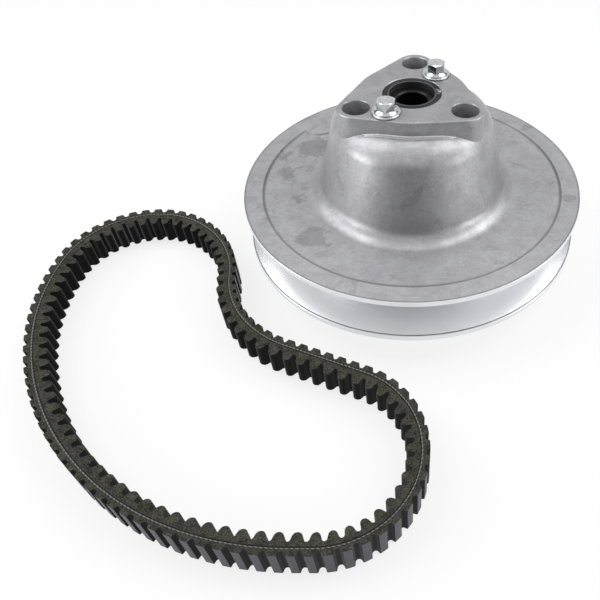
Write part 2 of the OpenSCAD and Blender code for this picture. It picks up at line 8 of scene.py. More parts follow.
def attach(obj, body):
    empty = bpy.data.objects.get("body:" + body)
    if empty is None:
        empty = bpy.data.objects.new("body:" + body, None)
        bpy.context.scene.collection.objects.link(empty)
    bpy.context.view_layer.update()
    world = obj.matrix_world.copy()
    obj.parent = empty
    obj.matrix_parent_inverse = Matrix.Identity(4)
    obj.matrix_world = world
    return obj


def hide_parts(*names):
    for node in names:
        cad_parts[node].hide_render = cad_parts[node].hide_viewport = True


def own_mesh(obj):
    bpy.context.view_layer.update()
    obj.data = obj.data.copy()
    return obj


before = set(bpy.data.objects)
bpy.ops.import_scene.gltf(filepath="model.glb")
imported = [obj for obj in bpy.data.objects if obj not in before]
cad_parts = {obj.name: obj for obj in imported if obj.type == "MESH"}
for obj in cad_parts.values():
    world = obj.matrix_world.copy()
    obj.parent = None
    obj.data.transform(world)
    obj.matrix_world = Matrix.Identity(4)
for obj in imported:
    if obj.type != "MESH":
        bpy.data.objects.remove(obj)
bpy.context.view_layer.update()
scene = bpy.context.scene

# ---- Fixed sheave ----
# The lower half of the pulley: an aluminium casting with its groove face and rim turned bright on a
# lathe. Nine ribs stiffen its dished back, and six screws from below fix it to the foot of the post.

MM = 0.001
rim_r = 130
face_slope = math.tan(math.radians(13))
rim_lift, lower_edge, groove_gap, land_gap = 22, 5.2, 30.4, 1.8
lower_top = rim_lift + lower_edge
land_r = rim_r - (groove_gap - land_gap) / (2 * face_slope)
land_z = lower_top + (rim_r - land_r) * face_slope
dish_wall, foot_top, plate_top, recess_r, recess_top_r = 7, 8, 21, 48, 62.07
hub_foot_r, hub_top_z = recess_r + dish_wall, land_z - dish_wall
dish_start_r = rim_r - (rim_lift + dish_wall - lower_top) / face_slope
post_r, slip = 16, 0.02
rib_count, rib_t, rib_setback, rib_root, rib_tip = 9, 5, 4, 1, 0.6
edge_break, rim_draft, rim_draft_h = 0.2, 0.7, 1.5
line_in, line_out, line_side, line_depth = 0.5, 1.2, 0.1, 0.3
lathe_steps = 240


def linear(colour):
    """An sRGB hex colour as the linear colour that a shader takes."""
    shares = [int(colour[i:i + 2], 16) / 255 for i in (1, 3, 5)]
    return [s / 12.92 if s <= 0.04045 else ((s + 0.055) / 1.055) ** 2.4 for s in shares] + [1]


def add(tree, kind, inputs=None, **settings):
    """A node of that kind with its settings, and values or other nodes' outputs on its inputs."""
    node = tree.nodes.new(kind)
    for name, value in settings.items():
        setattr(node, name, value)
    for name, value in (inputs or {}).items():
        if isinstance(value, bpy.types.NodeSocket):
            tree.links.new(value, node.inputs[name])
        else:
            node.inputs[name].default_value = value
    return node


def blank_finish(name):
    """A new material, its empty node tree and the piece's own coordinates."""
    material = bpy.data.materials.new(name)
    material.use_nodes = True
    tree = material.node_tree
    tree.nodes.clear()
    return material, tree, add(tree, "ShaderNodeTexCoord").outputs["Object"]


def close_finish(tree, inputs):
    """The surface shader with those inputs, at the end of a material's tree."""
    shader = add(tree, "ShaderNodeBsdfPrincipled", inputs)
    add(tree, "ShaderNodeOutputMaterial", {"Surface": shader.outputs[0]})


def turn(outline, steps):
    """A closed outline of (radius, height, length of the rounded corner) in mm, turned round the axis."""
    bm = bmesh.new()
    corners = [bm.verts.new((r * MM, 0, z * MM)) for r, z, _ in outline]
    for a, b in zip(corners, corners[1:] + corners[:1]):
        bm.edges.new((a, b))
    for corner, (_, _, round_off) in zip(corners, outline):
        if round_off:
            bmesh.ops.bevel(bm, geom=[corner], offset=round_off * MM, affect="VERTICES", segments=4,
                            profile=0.5, material=-1)
    bmesh.ops.spin(bm, geom=bm.verts[:] + bm.edges[:], cent=(0, 0, 0), axis=(0, 0, 1),
                   angle=math.tau, steps=steps, use_merge=True)
    bmesh.ops.remove_doubles(bm, verts=bm.verts, dist=1e-7)
    bmesh.ops.recalc_face_normals(bm, faces=bm.faces)
    return bm


def cut(body, tool, how):
    """The body with the tool joined to it, cut from it or kept in common, as a new bmesh."""
    stock = []
    for name, bm in (("cut_body", body), ("cut_tool", tool)):
        mesh = bpy.data.meshes.new(name)
        bm.to_mesh(mesh)
        bm.free()
        stock.append(bpy.data.objects.new(name, mesh))
        scene.collection.objects.link(stock[-1])
    step = stock[0].modifiers.new("cut", "BOOLEAN")
    step.operation, step.solver, step.object = how, "EXACT", stock[1]
    result = bmesh.new()
    result.from_object(stock[0], bpy.context.evaluated_depsgraph_get())
    for obj in stock:
        bpy.data.objects.remove(obj)
    return result


def shown(name, bm, materials, sharp=35):
    """The mesh as an object at the origin, smooth but for edges sharper than that many degrees."""
    mesh = bpy.data.meshes.new(name)
    bm.to_mesh(mesh)
    bm.free()
    for material in materials:
        mesh.materials.append(material)
    mesh.shade_smooth()
    mesh.set_sharp_from_angle(angle=math.radians(sharp))
    obj = bpy.data.objects.new(name, mesh)
    scene.collection.objects.link(obj)
    return obj


# Turned aluminium: bright, with fine rings left by the tool and faint handling haze
turned_aluminium, tree, place = blank_finish("turned_aluminium")
ring_pitch = 1.2  # mm; real tool marks are near 0.2 mm and too fine to show
spread = add(tree, "ShaderNodeSeparateXYZ", {"Vector": place})
flat = add(tree, "ShaderNodeCombineXYZ", {"X": spread.outputs["X"], "Y": spread.outputs["Y"]})
reach = add(tree, "ShaderNodeVectorMath", {0: flat.outputs[0]}, operation="LENGTH")
rings = add(tree, "ShaderNodeTexNoise", {"W": reach.outputs["Value"], "Scale": 1 / (ring_pitch * MM),
                                         "Detail": 2}, noise_dimensions="1D")
haze = add(tree, "ShaderNodeTexNoise", {"Vector": place, "Scale": 1 / (28 * MM), "Detail": 3})
shade = add(tree, "ShaderNodeMix", {0: haze.outputs["Fac"], 6: linear("#e0e1e4"), 7: linear("#f0f1f3")},
            data_type="RGBA")
dull = add(tree, "ShaderNodeMapRange", {"Value": haze.outputs["Fac"], "To Min": 0.3, "To Max": 0.22})
marks = add(tree, "ShaderNodeBump", {"Height": rings.outputs["Fac"], "Strength": 0.03,
                                     "Distance": 0.02 * MM})
close_finish(tree, {"Base Color": shade.outputs[2], "Metallic": 0.75, "Roughness": dull.outputs[0],
                    "Normal": marks.outputs[0]})

# Painted shade: a dark grey line in the narrow groove turned just inside the rim
groove_line_shade, tree, place = blank_finish("groove_line_shade")
smear = add(tree, "ShaderNodeTexNoise", {"Vector": place, "Scale": 1 / (9 * MM), "Detail": 3})
shade = add(tree, "ShaderNodeMix", {0: smear.outputs["Fac"], 6: linear("#68686c"), 7: linear("#bcbcbf")},
            data_type="RGBA")
close_finish(tree, {"Base Color": shade.outputs[2], "Roughness": 0.6})

bm = turn([
    (post_r + slip, foot_top, 0), (hub_foot_r, foot_top, 2), (land_r, hub_top_z, 3),
    (dish_start_r, rim_lift, 1.5), (rim_r - rim_draft, rim_lift, 0.2),
    (rim_r, rim_lift + rim_draft_h, 0.1), (rim_r, lower_top - edge_break, 0),
    (rim_r - edge_break, lower_top, 0), (rim_r - line_in, lower_top, 0),
    (rim_r - line_in - line_side, lower_top - line_depth, 0),
    (rim_r - line_out, lower_top - line_depth, 0),
    (rim_r - line_out - line_side, lower_top + line_out * face_slope, 0), (land_r, land_z, 0.8),
    (recess_top_r, land_z, 0.8), (recess_r, plate_top, 2), (post_r + slip, plate_top, 0),
], lathe_steps)
ribs = bmesh.new()
rib_end_r = dish_start_r - rib_setback
rib_end_z = lower_top + (rim_r - rib_end_r) * face_slope - dish_wall
for i in range(rib_count):
    side = [ribs.verts.new((r * MM, -rib_t / 2 * MM, z * MM)) for r, z in (
        (hub_foot_r - rib_root, (foot_top + rim_lift) / 2), (rib_end_r, rib_end_z - rib_tip),
        (rib_end_r, rib_end_z + rib_root), (land_r, hub_top_z + rib_root),
        (hub_foot_r - rib_root, hub_top_z - dish_wall))]
    thick = bmesh.ops.extrude_face_region(ribs, geom=[ribs.faces.new(side)])["geom"]
    far = [v for v in thick if isinstance(v, bmesh.types.BMVert)]
    bmesh.ops.translate(ribs, verts=far, vec=(0, rib_t * MM, 0))
    bmesh.ops.rotate(ribs, verts=side + far, cent=(0, 0, 0),
                     matrix=Matrix.Rotation(math.tau * i / rib_count, 3, "Z"))
bmesh.ops.recalc_face_normals(ribs, faces=ribs.faces)
bm = cut(bm, ribs, "UNION")
# The faces of the groove just inside the rim take the painted shade
for face in bm.faces:
    spot = face.calc_center_median() / MM
    across_line = rim_r - line_out - line_side < spot.xy.length < rim_r - line_in
    face.material_index = 1 if across_line and spot.z > lower_top - 1 else 0
fixed_sheave = shown("fixed_sheave_turned", bm, [turned_aluminium, groove_line_shade])
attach(fixed_sheave, "fixed_half")
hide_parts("fixed_sheave")

# ---- Post and what it carries ----
# The black steel post that the gearbox shaft goes into, and the CAD solids round it: the foot screws, the
# cam with its dowels, the spider with its pins and rollers, and the spring's seat, washers and rings. The
# steel is blackened or ground bright, and the liners and rollers are moulded polymer.

# Black steel: oxide-blackened and oiled, satin, rubbed pale in flecks where the bore's edge was handled
black_steel, tree, place = blank_finish("blackened_steel")
worn_spot, worn_far, worn_near = (18, 3, 136), 9, 2  # mm; the rubbed part of the bore's edge
bloom = add(tree, "ShaderNodeTexNoise", {"Vector": place, "Scale": 1 / (6 * MM), "Detail": 4})
away = add(tree, "ShaderNodeVectorMath", {0: place, 1: Vector(worn_spot) * MM}, operation="DISTANCE")
near = add(tree, "ShaderNodeMapRange", {"Value": away.outputs["Value"], "From Min": worn_far * MM,
                                        "From Max": worn_near * MM})
fleck = add(tree, "ShaderNodeTexNoise", {"Vector": place, "Scale": 1 / (1.3 * MM), "Detail": 3})
worn = add(tree, "ShaderNodeMath", {0: fleck.outputs["Fac"], 1: near.outputs[0]}, operation="MULTIPLY")
scuff = add(tree, "ShaderNodeMapRange", {"Value": worn.outputs[0], "From Min": 0.48, "From Max": 0.54})
shade = add(tree, "ShaderNodeMix", {0: scuff.outputs[0], 6: linear("#0b0b0c"), 7: linear("#dcdcde")},
            data_type="RGBA")
dull = add(tree, "ShaderNodeMapRange", {"Value": bloom.outputs["Fac"], "To Min": 0.3, "To Max": 0.46})
close_finish(tree, {"Base Color": shade.outputs[2], "Metallic": 0.1, "Roughness": dull.outputs[0],
                    "Specular IOR Level": 0.25})

# Bright steel: ground and hardened, grey, with a fine grain
bright_steel, tree, place = blank_finish("ground_steel")
grain = add(tree, "ShaderNodeTexNoise", {"Vector": place, "Scale": 1 / (1.5 * MM), "Detail": 3})
shade = add(tree, "ShaderNodeMix", {0: grain.outputs["Fac"], 6: linear("#8f9194"), 7: linear("#b9bbbd")},
            data_type="RGBA")
dull = add(tree, "ShaderNodeMapRange", {"Value": grain.outputs["Fac"], "To Min": 0.25, "To Max": 0.4})
close_finish(tree, {"Base Color": shade.outputs[2], "Metallic": 1, "Roughness": dull.outputs[0]})

# Liner polymer: dark filled PTFE with a waxy, even surface
liner_polymer, tree, place = blank_finish("filled_ptfe")
fleck = add(tree, "ShaderNodeTexNoise", {"Vector": place, "Scale": 1 / (0.8 * MM), "Detail": 2})
shade = add(tree, "ShaderNodeMix", {0: fleck.outputs["Fac"], 6: linear("#1c1c1e"), 7: linear("#2f2f31")},
            data_type="RGBA")
close_finish(tree, {"Base Color": shade.outputs[2], "Roughness": 0.45})

# Roller polymer: moulded PEEK, tan, with a slight mottle
roller_polymer, tree, place = blank_finish("moulded_peek")
mottle = add(tree, "ShaderNodeTexNoise", {"Vector": place, "Scale": 1 / (2.5 * MM), "Detail": 2})
shade = add(tree, "ShaderNodeMix", {0: mottle.outputs["Fac"], 6: linear("#c2b491"), 7: linear("#d5cab0")},
            data_type="RGBA")
close_finish(tree, {"Base Color": shade.outputs[2], "Roughness": 0.42})

for finish, names in (
    (black_steel, ("shaft_post", "torque_cam")),
    (bright_steel, ("post_screws", "cam_dowels", "roller_spider", "spider_key", "spider_ring",
                    "roller_pins", "pin_clips", "spring_cup", "thrust_washer", "spring_seat",
                    "seat_ring")),
    (liner_polymer, ("neck_bush", "seat_bush")),
    (roller_polymer, ("roller_1", "roller_2", "roller_3")),
):
    for name in names:
        for shader_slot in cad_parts[name].material_slots:
            shader_slot.material = finish

# ---- Spring ----
# A torsion and compression spring of hard-drawn wire, three working coils and a closed coil at each
# end, ground flat. It stands between the spring seat and the spider; it is built at one length, though
# the real spring shortens as the groove opens.

wire_d, coil_r, coil_count, spring_z, spring_h = 4.5, 21.5, 3, 35, 47
wire_steps, coil_steps = 12, 36
bm = bmesh.new()
wire_end = Matrix.Translation((coil_r * MM, 0, spring_z * MM)) @ Matrix.Rotation(math.pi / 2, 4, "X")
bmesh.ops.create_circle(bm, segments=wire_steps, radius=wire_d / 2 * MM, matrix=wire_end)
ring = bm.verts[:] + bm.edges[:]
bmesh.ops.contextual_create(bm, geom=bm.edges[:])
for turns, rise in ((1, wire_d), (coil_count, (spring_h - 2 * wire_d) / coil_count), (1, wire_d)):
    ring = bmesh.ops.spin(bm, geom=ring, cent=(0, 0, 0), axis=(0, 0, 1), angle=math.tau * turns,
                          dvec=(0, 0, rise / coil_steps * MM), steps=coil_steps * turns)["geom_last"]
bmesh.ops.contextual_create(bm, geom=[e for e in ring if isinstance(e, bmesh.types.BMEdge)])
bmesh.ops.remove_doubles(bm, verts=bm.verts, dist=1e-6)
bmesh.ops.recalc_face_normals(bm, faces=bm.faces)
for z, up in ((spring_z, -1), (spring_z + spring_h, 1)):
    edge = bmesh.ops.bisect_plane(bm, geom=bm.verts[:] + bm.edges[:] + bm.faces[:],
                                  plane_co=(0, 0, z * MM), plane_no=(0, 0, up),
                                  clear_outer=True)["geom_cut"]
    bmesh.ops.triangle_fill(bm, edges=[e for e in edge if isinstance(e, bmesh.types.BMEdge)],
                            use_beauty=True)
bmesh.ops.dissolve_degenerate(bm, edges=bm.edges, dist=1e-6)
bmesh.ops.recalc_face_normals(bm, faces=bm.faces)
spring = shown("torque_spring_coil", bm, [bright_steel])
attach(spring, "fixed_half")
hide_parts("torque_spring")
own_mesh(spring)

# ---- Movable sheave ----
# The upper half: one aluminium casting with its bell, three-cornered top and web as cast and tumbled,
# and its rim and groove face turned. It slides on the post, and the cam below its top turns it.

upper_edge, tower_h, plate_h = 4.1, 75, 10.2
rim_bottom = lower_top + groove_gap
rim_top = rim_bottom + upper_edge
web_drop, ring_in_r, ring_hold, ramp_w = 1.2, 116.1, 0.3, 3.4
web_z = rim_top - web_drop
ramp_r = (ramp_w ** 2 + web_drop ** 2) / (2 * web_drop)
ramp_end = math.asin(ramp_w / ramp_r)
tower_top = rim_top + tower_h
crown_z = tower_top - plate_h
bell_r, bell_draft, bell_wall = 71.5, math.radians(14), 7.5
shoulder_r, base_fillet = 20, 12.5
shoulder_z, fillet_z, ceiling_z = crown_z - shoulder_r, web_z + base_fillet, crown_z - bell_wall
upper_land_z = rim_bottom - (rim_r - land_r) * face_slope
land_round, land_rise = 0.6, 0.14
groove_break, groove_rise, rim_break, rim_hold = 0.3, 0.07, 0.25, 0.4
plate_r, lobe_r, lobe_circle_r, lobe_bearing = 39.5, 13.4, 42.7, math.radians(87.3)
neck_r = 20.7
wall_foot, top_round, bore_chamfer = 0.8, 1.1, 0.5
# Width and height of the painted highlight in the hollow at the foot of the plate's wall
highlight_w, highlight_below, highlight_above = 1.2, 1.6, 1
hole_r, hole_round, drill_over = 9.5, 0.4, 1
bolt_circle_r, bolt_bearing, spot_r, spot_depth = 31, math.radians(56), 10.9, 0.4
pad_r, pad_circle_r, pad_bearing, pad_drop, pad_root = 15, 113, math.radians(135), 0.02, 2
tower_steps = 300


def bell_side(z):
    """The bell's outer radius at a height."""
    return bell_r - (z - rim_top) * math.tan(bell_draft)


shoulder_in = bell_side(shoulder_z) - shoulder_r / math.cos(bell_draft)
fillet_out = bell_side(fillet_z) + base_fillet / math.cos(bell_draft)
cavity_r = bell_side(web_z) - bell_wall / math.cos(bell_draft)


def spaced(start, end, steps):
    """Numbers from start to end in that many even steps."""
    return [start + (end - start) * i / steps for i in range(steps + 1)]


def arc(r, z, radius, start, end, steps):
    """Points (radius, height) along an arc round (r, z)."""
    return [(r + radius * math.cos(a), z + radius * math.sin(a)) for a in spaced(start, end, steps)]


def plate_reach(bearing, grow):
    """Distance from the axis to the top plate's outline, moved outwards by grow, at a bearing."""
    off = abs((bearing - lobe_bearing + math.pi / 3) % (math.tau / 3) - math.pi / 3)
    tangent = math.acos((plate_r - lobe_r) / lobe_circle_r)
    lobe = lobe_r + grow
    lobe_end = math.atan2(lobe * math.sin(tangent), lobe_circle_r + lobe * math.cos(tangent))
    if off < lobe_end:
        return lobe_circle_r * math.cos(off) + math.sqrt(lobe ** 2 - (lobe_circle_r * math.sin(off)) ** 2)
    return (plate_r + grow) / (math.cos(off - tangent) if off < tangent else 1)


def tower_rows(bearing):
    """Points (radius, height) up the shoulder, the plate's wall and over the plate at a bearing."""
    wall = plate_reach(bearing, 0)
    mid_r = wall + wall_foot
    mid_z = shoulder_z + math.sqrt((shoulder_r + wall_foot) ** 2 - (mid_r - shoulder_in) ** 2)
    meet = math.atan2(mid_z - shoulder_z, mid_r - shoulder_in)
    rows = arc(shoulder_in, shoulder_z, shoulder_r, bell_draft, meet, 12)
    rows += arc(mid_r, mid_z, wall_foot, math.pi + meet, math.pi, 6)[1:]
    rows += [(plate_reach(bearing, top_round * (math.cos(a) - 1)),
              tower_top - top_round * (1 - math.sin(a))) for a in spaced(0, math.pi / 2, 4)]
    edge, bore = rows[-1][0], neck_r + slip + bore_chamfer
    rows += [(edge + (bore - edge) * share, tower_top) for share in spaced(0, 1, 4)[1:]]
    return rows


def set_out(bm, circle_r, bearing):
    """Moves a bmesh from the axis to a circle round it, at a bearing."""
    bmesh.ops.translate(bm, verts=bm.verts, vec=(circle_r * MM, 0, 0))
    bmesh.ops.rotate(bm, verts=bm.verts, cent=(0, 0, 0), matrix=Matrix.Rotation(bearing, 3, "Z"))


def gather(bm, stock):
    """Adds a bmesh to another one and frees it."""
    mesh = bpy.data.meshes.new("gathered")
    bm.to_mesh(mesh)
    bm.free()
    stock.from_mesh(mesh)
    bpy.data.meshes.remove(mesh)


# Cast aluminium: tumbled, mid grey, with faint clouds, fine grit, scratches and dark water stains, some
# of them in set places. Painted shade lies on the ramps of the ring and the pad, most at the back. The
# surface is also darker in a narrow band just inside the rim's edge and on the top plate's face.
cast_aluminium, tree, place = blank_finish("tumbled_cast_aluminium")
web_stains = [(-71, -66, 13), (-100, 12, 8), (-106, 34, 7), (-88, -22, 6), (98, 76, 6), (118, -22, 7),
              (-82, 46, 15)]  # mm; place on the web and radius
stain_edge, stain_sway, web_start_r = 2, 30, 90
cloud = add(tree, "ShaderNodeTexNoise", {"Vector": place, "Scale": 1 / (14 * MM), "Detail": 6,
                                         "Roughness": 0.68})
drift = add(tree, "ShaderNodeMapRange", {"Value": cloud.outputs["Fac"], "From Min": 0.38,
                                         "From Max": 0.62})
shade = add(tree, "ShaderNodeMix", {0: drift.outputs[0], 6: linear("#949497"), 7: linear("#a2a2a4")},
            data_type="RGBA")
pool = add(tree, "ShaderNodeTexNoise", {"Vector": place, "Scale": 1 / (24 * MM), "Detail": 6,
                                        "Roughness": 0.6, "Distortion": 1.2})
stain = add(tree, "ShaderNodeMapRange", {"Value": pool.outputs["Fac"], "From Min": 0.61,
                                         "From Max": 0.635, "To Min": 1, "To Max": 0.86})
grit = add(tree, "ShaderNodeTexNoise", {"Vector": place, "Scale": 1 / (1.8 * MM), "Detail": 3})
speck = add(tree, "ShaderNodeMapRange", {"Value": grit.outputs["Fac"], "From Min": 0.3, "From Max": 0.7,
                                         "To Min": 0.92, "To Max": 1.07})
along = add(tree, "ShaderNodeMapping", {"Vector": place, "Rotation": (0.3, 0.2, 0.65),
                                        "Scale": (1 / (22 * MM), 1 / (0.9 * MM), 1 / (9 * MM))})
scrape = add(tree, "ShaderNodeTexNoise", {"Vector": along.outputs[0], "Scale": 1, "Detail": 2})
scratch = add(tree, "ShaderNodeMapRange", {"Value": scrape.outputs["Fac"], "From Min": 0.66,
                                           "From Max": 0.74, "To Min": 1, "To Max": 1.25})
scuff = add(tree, "ShaderNodeMapRange", {"Value": scrape.outputs["Fac"], "From Min": 0.27,
                                         "From Max": 0.34, "To Min": 0.84})
spread = add(tree, "ShaderNodeSeparateXYZ", {"Vector": place})
flat = add(tree, "ShaderNodeCombineXYZ", {"X": spread.outputs["X"], "Y": spread.outputs["Y"]})
reach = add(tree, "ShaderNodeVectorMath", {0: flat.outputs[0]}, operation="LENGTH")
climb = add(tree, "ShaderNodeMapRange", {"Value": spread.outputs["Z"], "From Min": (web_z + 0.04) * MM,
                                         "From Max": (web_z + 0.4) * MM})
outside = add(tree, "ShaderNodeMath", {0: reach.outputs["Value"], 1: web_start_r * MM},
              operation="GREATER_THAN")
under = add(tree, "ShaderNodeMath", {0: spread.outputs["Z"], 1: (rim_top - 2 * pad_drop) * MM},
            operation="LESS_THAN")
ramp = add(tree, "ShaderNodeMath", {0: climb.outputs[0], 1: outside.outputs[0]}, operation="MULTIPLY")
ramp = add(tree, "ShaderNodeMath", {0: ramp.outputs[0], 1: under.outputs[0]}, operation="MULTIPLY")
# Painted shade on the ramps of the ring and the pad, darker towards the back
ramp_shade_toward_back = add(tree, "ShaderNodeMapRange", {"Value": spread.outputs["Y"], "From Min": -95 * MM,
                                        "From Max": 10 * MM, "To Min": 0.8, "To Max": 0.44})
ramp_painted_shade = add(tree, "ShaderNodeMapRange", {"Value": ramp.outputs[0], "To Min": 1, "To Max": ramp_shade_toward_back.outputs[0]})
# Darker in a narrow band just inside the rim's edge
rim_line = add(tree, "ShaderNodeMapRange", {"Value": reach.outputs["Value"], "From Min": (rim_r - 2) * MM,
                                            "From Max": (rim_r - 0.8) * MM, "To Min": 1, "To Max": 0.62})
# The top plate's face a little darker
top_face_darkening = add(tree, "ShaderNodeMapRange", {
    "Value": spread.outputs["Z"], "From Min": (tower_top - 1.5) * MM, "From Max": (tower_top - 0.2) * MM,
    "To Min": 1, "To Max": 0.86})
ripple = add(tree, "ShaderNodeTexNoise", {"Vector": place, "Scale": 1 / (11 * MM), "Detail": 5,
                                          "Roughness": 0.65})
sway = add(tree, "ShaderNodeVectorMath", {0: ripple.outputs["Color"], 1: (0.5, 0.5, 0.5)},
           operation="SUBTRACT")
drawn = add(tree, "ShaderNodeVectorMath", {0: sway.outputs[0], 1: [stain_sway * MM] * 3, 2: place},
            operation="MULTIPLY_ADD")
shares = [stain, speck, scratch, scuff, ramp_painted_shade, rim_line, top_face_darkening]
for x, y, size in web_stains:
    gap = add(tree, "ShaderNodeVectorMath", {0: drawn.outputs[0], 1: (x * MM, y * MM, web_z * MM)},
              operation="DISTANCE")
    shares.append(add(tree, "ShaderNodeMapRange", {
        "Value": gap.outputs["Value"], "From Min": (size - stain_edge) * MM, "From Max": size * MM,
        "To Min": 0.74, "To Max": 1}))
tone = shade.outputs[2]
for share in shares:
    tone = add(tree, "ShaderNodeMix", {0: 1.0, 6: tone, 7: share.outputs[0]}, data_type="RGBA",
               blend_type="MULTIPLY").outputs[2]
dull = add(tree, "ShaderNodeMapRange", {"Value": cloud.outputs["Fac"], "From Min": 0.3, "From Max": 0.7,
                                        "To Min": 0.47, "To Max": 0.35})
skin = add(tree, "ShaderNodeBump", {"Height": grit.outputs["Fac"], "Strength": 0.12,
                                    "Distance": 0.05 * MM})
close_finish(tree, {"Base Color": tone, "Metallic": 0.65, "Roughness": dull.outputs[0],
                    "Normal": skin.outputs[0]})

# Drilled aluminium: the tool holes' bare walls, brighter than the casting, with the drill's fine spiral
drilled_aluminium, tree, place = blank_finish("drilled_aluminium")
feed = add(tree, "ShaderNodeMapping", {"Vector": place,
                                       "Scale": (1 / (9 * MM), 1 / (9 * MM), 1 / (0.8 * MM))})
spiral = add(tree, "ShaderNodeTexNoise", {"Vector": feed.outputs[0], "Scale": 1, "Detail": 2})
shade = add(tree, "ShaderNodeMix", {0: spiral.outputs["Fac"], 6: linear("#c2c2c4"), 7: linear("#ececee")},
            data_type="RGBA")
close_finish(tree, {"Base Color": shade.outputs[2], "Metallic": 1, "Roughness": 0.36})

# Painted highlight: a bright, streaked band in the narrow hollow at the foot of the plate's wall
wall_foot_highlight_aluminium, tree, place = blank_finish("wall_foot_painted_highlight")
streak = add(tree, "ShaderNodeTexNoise", {"Vector": place, "Scale": 1 / (3 * MM), "Detail": 4})
shade = add(tree, "ShaderNodeMix", {0: streak.outputs["Fac"], 6: linear("#b6b6b8"), 7: linear("#e2e2e4")},
            data_type="RGBA")
close_finish(tree, {"Base Color": shade.outputs[2], "Metallic": 0.6, "Roughness": 0.34})

below = [(neck_r + slip, ceiling_z)]
below += arc(shoulder_in, shoulder_z, shoulder_r - bell_wall, math.pi / 2, bell_draft, 8)
below += [
    (cavity_r, web_z), (cavity_r, upper_land_z), (land_r - land_round, upper_land_z),
    (land_r + land_round, upper_land_z + land_rise), (rim_r - groove_break, rim_bottom - groove_rise),
    (rim_r, rim_bottom + rim_break), (rim_r, rim_bottom + rim_hold), (rim_r, rim_top - rim_hold),
    (rim_r, rim_top - rim_break), (rim_r - rim_break, rim_top), (rim_r - 2 * rim_break, rim_top),
    (ring_in_r + ring_hold, rim_top)]
below += arc(ring_in_r - ramp_w, web_z + ramp_r, ramp_r, ramp_end - math.pi / 2, -math.pi / 2, 8)
below += arc(fillet_out, fillet_z, base_fillet, 1.5 * math.pi, math.pi + bell_draft, 12)
above = [(neck_r + slip, tower_top - bore_chamfer)]
outline = below + tower_rows(0) + above
bm = bmesh.new()
row = bm.verts.layers.int.new("row")
points = [bm.verts.new((r * MM, 0, z * MM)) for r, z in outline]
for i, point in enumerate(points):
    point[row] = i
for a, b in zip(points, points[1:] + points[:1]):
    bm.edges.new((a, b))
bmesh.ops.spin(bm, geom=bm.verts[:] + bm.edges[:], cent=(0, 0, 0), axis=(0, 0, 1), angle=math.tau,
               steps=tower_steps, use_merge=True)
rows_at = {}
for v in bm.verts:
    bearing = round(math.atan2(v.co.y, v.co.x) / math.tau * tower_steps) * math.tau / tower_steps
    if bearing not in rows_at:
        rows_at[bearing] = tower_rows(bearing)
    rise = v[row] - len(below)
    if 0 <= rise < len(rows_at[bearing]):
        r, z = rows_at[bearing][rise]
        v.co = (r * math.cos(bearing) * MM, r * math.sin(bearing) * MM, z * MM)
bmesh.ops.remove_doubles(bm, verts=bm.verts, dist=1e-6)
bmesh.ops.recalc_face_normals(bm, faces=bm.faces)
pad_foot = 1.5 * math.pi
pad_side = arc(pad_r + ramp_w, web_z + ramp_r - pad_drop, ramp_r, pad_foot, pad_foot - ramp_end, 8)
pad = turn([(0, web_z - pad_root, 0), (pad_r + ramp_w, web_z - pad_root, 0)] +
           [(r, z, 0) for r, z in pad_side] + [(0, rim_top - pad_drop, 0)], 64)
pad_place = Matrix.Rotation(pad_bearing, 3, "Z") @ Vector((pad_circle_r * MM, 0, 0))
bmesh.ops.translate(pad, verts=pad.verts, vec=pad_place)
bm = cut(bm, pad, "UNION")
drills = bmesh.new()
for count, circle_r, first, profile in (
    (3, lobe_circle_r, lobe_bearing, [
        (0, shoulder_z, 0), (hole_r, shoulder_z, 0), (hole_r, tower_top - hole_round, 0.3),
        (hole_r + hole_round + drill_over, tower_top + drill_over, 0), (0, tower_top + drill_over, 0)]),
    (2, bolt_circle_r, bolt_bearing, [
        (0, tower_top - spot_depth, 0), (spot_r, tower_top - spot_depth, 0),
        (spot_r, tower_top + drill_over, 0), (0, tower_top + drill_over, 0)]),
):
    for i in range(count):
        drill = turn(profile, 48)
        set_out(drill, circle_r, first + math.tau * i / count)
        gather(drill, drills)
bm = cut(bm, drills, "DIFFERENCE")
for face in bm.faces:
    spot = face.calc_center_median() / MM
    reach = spot.xy.length
    turned_rim = reach > rim_r - rim_hold and spot.z < rim_top - 0.1
    groove_face = spot.z < rim_bottom and face.normal.z < -0.5 and reach > cavity_r
    drilled = spot.z > ceiling_z - bell_wall and any(
        (spot.xy - Vector((math.cos(a), math.sin(a))) * lobe_circle_r).length < hole_r + 0.05 and
        face.normal.z < 0.9 for a in spaced(lobe_bearing, lobe_bearing + math.tau, 3))
    # Faces in the hollow at the foot of the plate's wall, near the middle of each side, take the painted
    # highlight
    past_wall = reach - plate_reach(math.atan2(spot.y, spot.x), 0)
    in_wall_foot_highlight = (0.05 < past_wall < wall_foot + highlight_w and
              crown_z - highlight_below < spot.z < crown_z + highlight_above)
    face.material_index = 3 if in_wall_foot_highlight else 2 if drilled else 1 if turned_rim or groove_face else 0
movable_sheave = shown("movable_sheave_casting", bm,
                       [cast_aluminium, turned_aluminium, drilled_aluminium, wall_foot_highlight_aluminium])
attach(movable_sheave, "movable_half")
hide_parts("movable_sheave")

# ---- Cam bolts and washers ----
# Two zinc-plated bolts with flanged hexagon heads, each on a flat washer in a spot face, which hold the
# black cam up against the underside of the top plate.

bolt_flats, hex_h, bolt_flange_r, bolt_flange_t, bolt_flange_edge, bolt_r = 12, 6, 8.2, 2, 0.7, 4
hex_round, crown_in, crown_drop = 0.4, 0.7, 3.4
washer_r, washer_t, washer_slip = 10, 1.6, 0.3
washer_z = tower_top - spot_depth
head_z = washer_z + washer_t
head_top = head_z + bolt_flange_t + hex_h
cam_flange_t = 7
bolt_end = ceiling_z - cam_flange_t + 1

